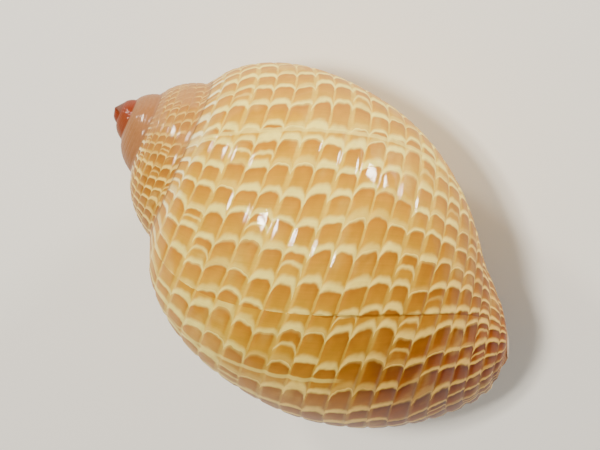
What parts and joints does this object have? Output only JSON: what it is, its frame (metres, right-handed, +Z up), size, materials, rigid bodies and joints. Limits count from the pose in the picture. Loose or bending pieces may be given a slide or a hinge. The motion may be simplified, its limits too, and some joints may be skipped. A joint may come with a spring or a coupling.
{
  "type": "tun shell",
  "caption": "Large rounded sea snail shell with a low pointed spire, broad flat ribs, a wide open mouth and a twisted pillar.",
  "frame": {"origin": "centre of the shell's bounding box on the surface it lies on", "axes": "+Z up as the shell lies on its mouth, +X along its length towards the front end (the spire points to -X), and the mouth opens towards -Z"},
  "size_m": [0.1374, 0.0968, 0.0831],
  "materials": {
    "shell": "gloss"
  },
  "bodies": {
    "root": {"tun_shell": "shell"}
  },
  "joints": []
}
